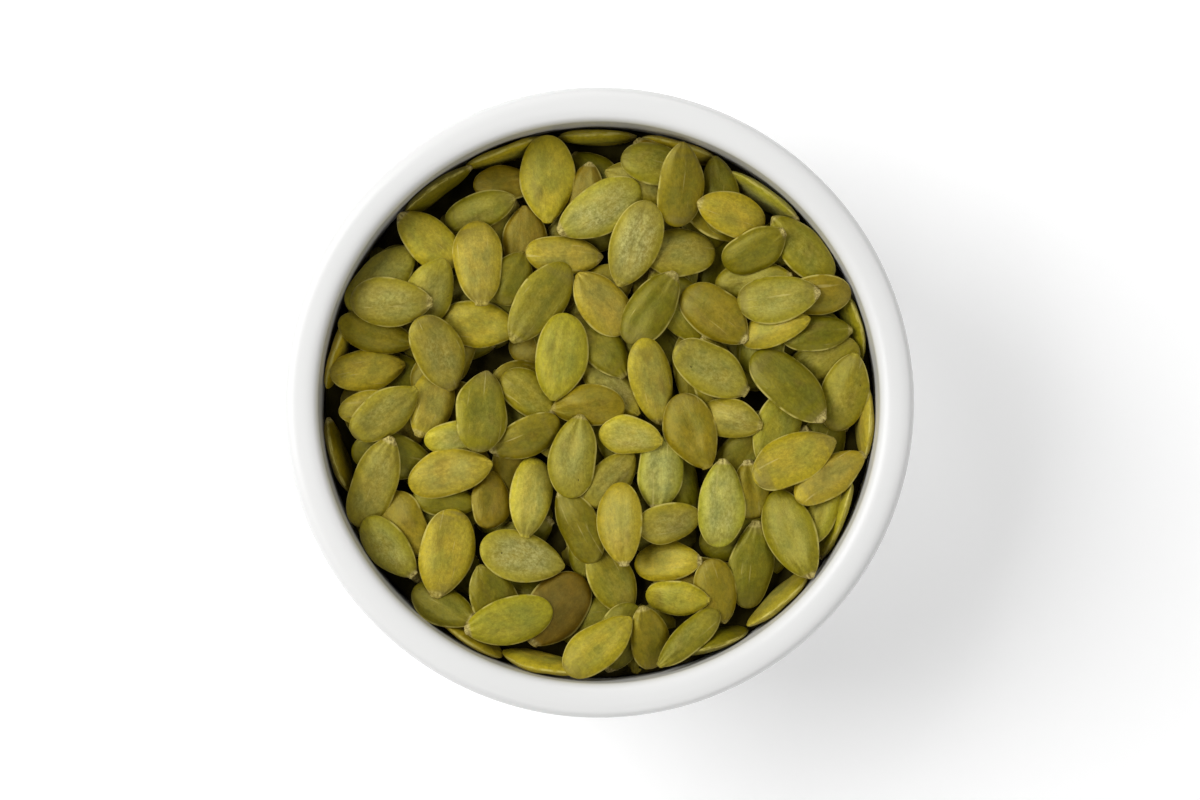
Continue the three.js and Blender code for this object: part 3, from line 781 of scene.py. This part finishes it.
def make_bed(bed):
    inside = inner_wall(FIT_GAP)
    wall = inside[inside[:, 1] < bed - HEAP_SLOPE * INNER_RADIUS]
    top = bed + BED_RISE
    flat = np.column_stack([np.linspace(wall[0][0], 0, BED_RINGS), np.full(BED_RINGS, top)])
    piece = lathe("seeds_packed", np.concatenate([[[0, FLOOR_HEIGHT + FIT_GAP]], wall[::-1], flat]))
    for corner in piece.data.vertices:
        x, y, z = corner.co / MM
        if z > bed:
            corner.co.z = (top + bed_bump(x, y) - HEAP_SLOPE * y) * MM
    return piece

# ---------------------------------------------------------------- the seeds' colours

# What a seed's tint is multiplied by in its warm and its cool patches, and at its edge.
WARM = (1.2, 1.12, 0.85, 1)
COOL = (0.84, 0.91, 0.9, 1)
RICH = (1.14, 1.09, 0.28, 1)

STAIN = (0.15, 0.09, 0.012, 1)
DULL = (0.16, 0.125, 0.035, 1)  # of worn patches towards the ends
DUST = (0.42, 0.385, 0.13, 1)
CREAM = (0.62, 0.52, 0.19, 1)  # of the scratches, and of the pale parts of the husk
HUSK = (0.17, 0.12, 0.03, 1)
HEM = (0.58, 0.50, 0.13, 1)  # of the fine line round the edge
SPECK = (0.03, 0.02, 0.005, 1)
SHEEN = (1.0, 0.92, 0.26, 1)  # of the soft highlights

# Noise on a seed: its cells in a mm along the seed, in a mm across it and in a step from seed to seed,
# then how many finer layers it has, and how strong each is next to the one before.
NOISES = {
    "mottles": (0.26, 0.34, 1, 3, 0.6),
    "patches": (0.17, 0.27, 1.3, 2, 0.5),
    "pieces": (0.45, 0.1, 0.7, 2, 0.5),
    "fibres": (0.5, 2.6, 1, 3, 0.6),
    "grit": (1.5, 1.9, 1, 4, 0.8),
    "clouds": (0.7, 0.9, 0.6, 3, 0.65),
    "scratches": (0.13, 2.0, 1.7, 1, 0.5),
    "specks": (0.9, 1.1, 1.9, 1, 0.5),
}

# The layers of a seed's look: what each follows, the two values between which it changes, and how
# strong it is at the first of them and at the second.
LAYERS = {
    "warmth": ("mottles", 0.38, 0.62, 0, 1),
    "stains": ("patches", 0.58, 0.74, 0, 0.55),
    "richness": ("margin", 0.45, 0.97, 0, 1),
    "endwards": ("from_middle", 3.0, 6.8, 0, 1),
    "worn_pieces": ("pieces", 0.42, 0.6, 0, 0.75),
    "worn_seeds": ("scarred", 0.1, 0.8, 0, 1),
    "powder_middle": ("margin", 0.85, 0.35, 0, 1),
    "powder_patches": ("patches", 0.35, 0.55, 0.3, 1),
    "powder_grit": ("grit", 0.42, 0.6, 0.1, 1),
    "fibre_shade": ("fibres", 0.3, 0.7, 0.96, 1.04),
    "grit_shade": ("grit", 0.3, 0.7, 0.7, 1.3),
    "cloud_shade": ("clouds", 0.3, 0.7, 0.87, 1.13),
    "scratches": ("scratches", 0.68, 0.73, 0, 1),
    "scratched_parts": ("mottles", 0.42, 0.58, 0, 1),
    "specks": ("specks", 0.8, 0.83, 0, 0.8),
    "hem": ("pieces", 0.43, 0.56, 0.1, 0.95),
    "pale_husk": ("grit", 0.4, 0.6, 0, 1),
    "roughness": ("grit", 0.3, 0.7, 0.34, 0.48),
}
SCRATCH_STRENGTH = 0.45
SEED_SPECULAR = 0.8
FIBRE_RELIEF = 0.3
GRIT_RELIEF = 0.7
SEED_BUMP = (0.8, 0.15)  # strength, and height in mm

# ---------------------------------------------------------------- the other looks

# A noise is given by its cells in a metre, by how many finer layers it has, and by how strong each is
# next to the one before. A bump is given by its strength and by its height in mm.

WHITE = (1, 1, 1, 1)

# The bed's two near-black colours are painted shade. They are far darker than the seeds' own colour and
# stand for the deep shadow in the gaps between the seeds lower in the heap.
BED_SHADE_DARK = (0.012, 0.009, 0.002, 1)
BED_SHADE_LIGHTER = (0.05, 0.04, 0.008, 1)
BED_PATCHES = (180, 3, 0.5)
BED_ROUGHNESS = 0.7
BED_SPECULAR = 0.1
BED_LUMPS = (0.6, 1.0)

GLAZE = (0.84, 0.84, 0.83, 1)
THICK_GLAZE = (0.87, 0.87, 0.86, 1)
GLAZE_POOLS = (22, 2, 0.5)
GLAZE_POOLED = (0.35, 0.65)  # from nowhere to everywhere thick, on the scale of that noise
GLAZE_ROUGHNESS = 0.26
GLAZE_SPECULAR = 0.3
ORANGE_PEEL = (130, 2, 0.5)
PEEL_RELIEF = (0.05, 0.4)
BISCUIT_DARK = (0.62, 0.58, 0.50, 1)
BISCUIT_LIGHT = (0.74, 0.71, 0.64, 1)
BISCUIT_GRIT = (900, 3, 0.7)
BISCUIT_ROUGHER = 0.5  # than the glaze
BARE_FOOT = (1.0, 1.25)  # up to where the foot is unglazed, and from where it is glazed, in mm
BARE_WAVER = 0.6  # how much lower than that the line can lie, in mm

FLOOR_COLOUR = (0.9, 0.9, 0.9, 1)
FLOOR_ROUGHNESS = 0.8
FLOOR_GLOW = 0.25

# ---------------------------------------------------------------- materials


class Graph:
    """Short calls for the nodes of one material."""

    def __init__(self, name):
        self.material = bpy.data.materials.new(name)
        self.material.use_nodes = True
        self.nodes = self.material.node_tree.nodes
        self.links = self.material.node_tree.links
        self.shader = self.nodes["Principled BSDF"]

    def feed(self, socket, value):
        if isinstance(value, bpy.types.NodeSocket):
            self.links.new(value, socket)
        else:
            socket.default_value = value

    def attribute(self, name, output):
        node = self.nodes.new("ShaderNodeAttribute")
        node.attribute_name = name
        return node.outputs[output]

    def position(self):
        return self.nodes.new("ShaderNodeNewGeometry").outputs["Position"]

    def split(self, vector):
        node = self.nodes.new("ShaderNodeSeparateXYZ")
        self.feed(node.inputs[0], vector)
        return list(node.outputs)

    def math(self, operation, *values):
        node = self.nodes.new("ShaderNodeMath")
        node.operation = operation
        for socket, value in zip(node.inputs, values):
            self.feed(socket, value)
        return node.outputs[0]

    def product(self, first, *others):
        for other in others:
            first = self.math("MULTIPLY", first, other)
        return first

    def stretched(self, vector, by):
        node = self.nodes.new("ShaderNodeVectorMath")
        node.operation = "MULTIPLY"
        self.feed(node.inputs[0], vector)
        self.feed(node.inputs[1], by)
        return node.outputs[0]

    def shaded(self, colour, factor):
        node = self.nodes.new("ShaderNodeVectorMath")
        node.operation = "SCALE"
        self.feed(node.inputs[0], colour)
        self.feed(node.inputs["Scale"], factor)
        return node.outputs[0]

    def noise(self, vector, scale, detail, roughness):
        node = self.nodes.new("ShaderNodeTexNoise")
        self.feed(node.inputs["Vector"], vector)
        self.feed(node.inputs["Scale"], scale)
        self.feed(node.inputs["Detail"], detail)
        self.feed(node.inputs["Roughness"], roughness)
        return node.outputs["Fac"]

    def ramp(self, value, low, high, to_low=0, to_high=1):
        node = self.nodes.new("ShaderNodeMapRange")
        names = ("Value", "From Min", "From Max", "To Min", "To Max")
        for name, number in zip(names, (value, low, high, to_low, to_high)):
            self.feed(node.inputs[name], number)
        return node.outputs["Result"]

    def mix(self, factor, a, b, blend="MIX"):
        node = self.nodes.new("ShaderNodeMix")
        node.data_type = "RGBA"
        node.blend_type = blend
        self.feed(node.inputs["Factor"], factor)
        self.feed(node.inputs["A"], a)
        self.feed(node.inputs["B"], b)
        return next(socket for socket in node.outputs if socket.type == "RGBA")

    def bump(self, height, strength, distance):
        """Relief for the shader's Normal. The distance is in millimetres."""
        node = self.nodes.new("ShaderNodeBump")
        self.feed(node.inputs["Height"], height)
        self.feed(node.inputs["Strength"], strength)
        self.feed(node.inputs["Distance"], distance * MM)
        return node.outputs["Normal"]

    def surface(self, inputs):
        """The finished material, with these inputs of its shader set or linked."""
        for name, value in inputs.items():
            self.feed(self.shader.inputs[name], value)
        return self.material


def seed_material():
    """Reads the attributes of a seed's corners: its tint, grain and habit, and the place on it."""
    g = Graph("seed_kernel")
    tint = g.attribute("tint", "Color")
    grain = g.attribute("grain", "Vector")
    margin, at_tip, lip = g.split(g.attribute("place", "Vector"))
    dusty, scarred, husky = g.split(g.attribute("habit", "Vector"))
    from_middle = g.math("ABSOLUTE", g.split(grain)[0])
    noise = {}
    for name, (*cells, detail, roughness) in NOISES.items():
        noise[name] = g.noise(g.stretched(grain, cells), 1.0, detail, roughness)
    followed = dict(noise, margin=margin, from_middle=from_middle, scarred=scarred)
    layer = {name: g.ramp(followed[source], *ramp) for name, (source, *ramp) in LAYERS.items()}

    cool, warm, rich = (g.mix(1.0, tint, colour, "MULTIPLY") for colour in (COOL, WARM, RICH))
    colour = g.mix(layer["warmth"], cool, warm)
    colour = g.mix(layer["stains"], colour, STAIN)
    colour = g.mix(layer["richness"], colour, rich)
    worn = g.product(layer["endwards"], layer["worn_pieces"], layer["worn_seeds"])
    colour = g.mix(worn, colour, DULL)
    powder = g.product(layer["powder_middle"], layer["powder_patches"], layer["powder_grit"], dusty)
    colour = g.mix(powder, colour, DUST)
    shade = g.product(layer["fibre_shade"], layer["grit_shade"], layer["cloud_shade"])
    colour = g.shaded(colour, shade)
    scratches = g.product(layer["scratches"], layer["scratched_parts"], scarred, SCRATCH_STRENGTH)
    colour = g.mix(scratches, colour, CREAM)
    colour = g.mix(layer["specks"], colour, SPECK)
    colour = g.mix(g.product(lip, layer["hem"]), colour, HEM)
    husk = g.mix(layer["pale_husk"], HUSK, CREAM)
    colour = g.mix(g.product(at_tip, husky), colour, husk)
    fibres = g.product(noise["fibres"], FIBRE_RELIEF)
    grit = g.product(noise["grit"], GRIT_RELIEF)
    return g.surface(
        {
            "Base Color": colour,
            "Roughness": layer["roughness"],
            "Specular IOR Level": SEED_SPECULAR,
            "Specular Tint": SHEEN,
            "Normal": g.bump(g.math("ADD", fibres, grit), *SEED_BUMP),
        }
    )


# The bed is painted near-black, as shade for the deep gaps between the seeds lower in the heap.
def bed_shade_material():
    g = Graph("deep_seeds_painted_shade")
    patches = g.noise(g.position(), *BED_PATCHES)
    return g.surface(
        {
            "Base Color": g.mix(patches, BED_SHADE_DARK, BED_SHADE_LIGHTER),
            "Roughness": BED_ROUGHNESS,
            "Specular IOR Level": BED_SPECULAR,
            "Specular Tint": SHEEN,
            "Normal": g.bump(patches, *BED_LUMPS),
        }
    )


def glaze_material():
    g = Graph("glazed_white")
    place = g.position()
    pools = g.noise(place, *GLAZE_POOLS)
    glaze = g.mix(g.ramp(pools, *GLAZE_POOLED), GLAZE, THICK_GLAZE)
    biscuit = g.mix(g.noise(place, *BISCUIT_GRIT), BISCUIT_DARK, BISCUIT_LIGHT)
    height = g.math("ADD", g.split(place)[2], g.product(pools, BARE_WAVER * MM))
    bare = g.ramp(height, BARE_FOOT[0] * MM, BARE_FOOT[1] * MM, 1, 0)
    return g.surface(
        {
            "Base Color": g.mix(bare, glaze, biscuit),
            "Roughness": g.math("ADD", g.product(bare, BISCUIT_ROUGHER), GLAZE_ROUGHNESS),
            "Specular IOR Level": GLAZE_SPECULAR,
            "Normal": g.bump(g.noise(place, *ORANGE_PEEL), *PEEL_RELIEF),
        }
    )


def floor_material():
    return Graph("floor").surface(
        {
            "Base Color": FLOOR_COLOUR,
            "Roughness": FLOOR_ROUGHNESS,
            "Specular IOR Level": 0,
            "Emission Color": WHITE,
            "Emission Strength": FLOOR_GLOW,
        }
    )


# ---------------------------------------------------------------- the part


def finish_piece(piece, material, node):
    piece.data.materials.append(material)
    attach(piece, "root")
    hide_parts(node)


bed = lay_all_seeds()
finish_piece(make_bowl(), glaze_material(), "bowl")
finish_piece(make_bed(bed), bed_shade_material(), "seeds")

kernel = seed_material()
for kind, tints in KINDS.items():
    shaped = [make_seed(seed, number) for number, seed in enumerate(seeds) if seed["tint"] in tints]
    finish_piece(join(kind, shaped), kernel, "seeds")

# ---------------------------------------------------------------- stage, light and camera

FLOOR_SIZE = 6

# Square lights that face the middle of the foot: how far round from +X and how high above level they
# are, in degrees, how far off and how wide, and their power in watts.
LIGHTS = {
    "key": (162, 47, 1.2, 0.85, 12.6),
    "right": (10, 40, 1.2, 0.7, 2.3),
    "front": (280, 40, 1.2, 0.7, 3.4),
    "back": (90, 40, 1.2, 0.7, 2.6),
}
SKY_STRENGTH = 0.07

IMAGE_SIZE = (1200, 800)
RIM_CENTRE = (598.9, 402.6)  # in pixels of the photo, from its top left corner
PIXELS_PER_MM = 6.08  # at the top of the rim, and so about 6.05 at its widest and at the seeds
CAMERA_RISE = 0.65  # from the top of the rim up to the camera
SENSOR = 36  # in mm, and the lens too


def make_floor():
    bpy.ops.mesh.primitive_plane_add(size=FLOOR_SIZE)
    floor = bpy.context.object
    floor.name = "floor"
    floor.data.materials.append(floor_material())


def make_light(name, bearing, rise, distance, size, power):
    data = bpy.data.lights.new(name, "AREA")
    data.size = size
    data.energy = power
    light = bpy.data.objects.new(name, data)
    bearing = math.radians(bearing)
    rise = math.radians(rise)
    out = distance * math.cos(rise)
    light.location = (out * math.cos(bearing), out * math.sin(bearing), distance * math.sin(rise))
    light.rotation_mode = "QUATERNION"
    light.rotation_quaternion = light.location.to_track_quat("Z", "Y")
    bpy.context.collection.objects.link(light)


def make_sky():
    world = bpy.data.worlds.new("studio")
    world.use_nodes = True
    background = world.node_tree.nodes["Background"]
    background.inputs["Color"].default_value = WHITE
    background.inputs["Strength"].default_value = SKY_STRENGTH
    bpy.context.scene.world = world


def make_camera():
    """Looks straight down, and is as far off the bowl's middle as the photo's centre is."""
    data = bpy.data.cameras.new("camera")
    data.sensor_width = SENSOR
    data.lens = SENSOR * CAMERA_RISE / (IMAGE_SIZE[0] / PIXELS_PER_MM * MM)
    camera = bpy.data.objects.new("camera", data)
    off_x = (IMAGE_SIZE[0] / 2 - RIM_CENTRE[0]) / PIXELS_PER_MM * MM
    off_y = (RIM_CENTRE[1] - IMAGE_SIZE[1] / 2) / PIXELS_PER_MM * MM
    camera.location = (off_x, off_y, BOWL_HEIGHT * MM + CAMERA_RISE)
    bpy.context.collection.objects.link(camera)
    bpy.context.scene.camera = camera


make_floor()
for name, setting in LIGHTS.items():
    make_light(name, *setting)
make_sky()
make_camera()
bpy.context.scene.view_settings.view_transform = "Standard"
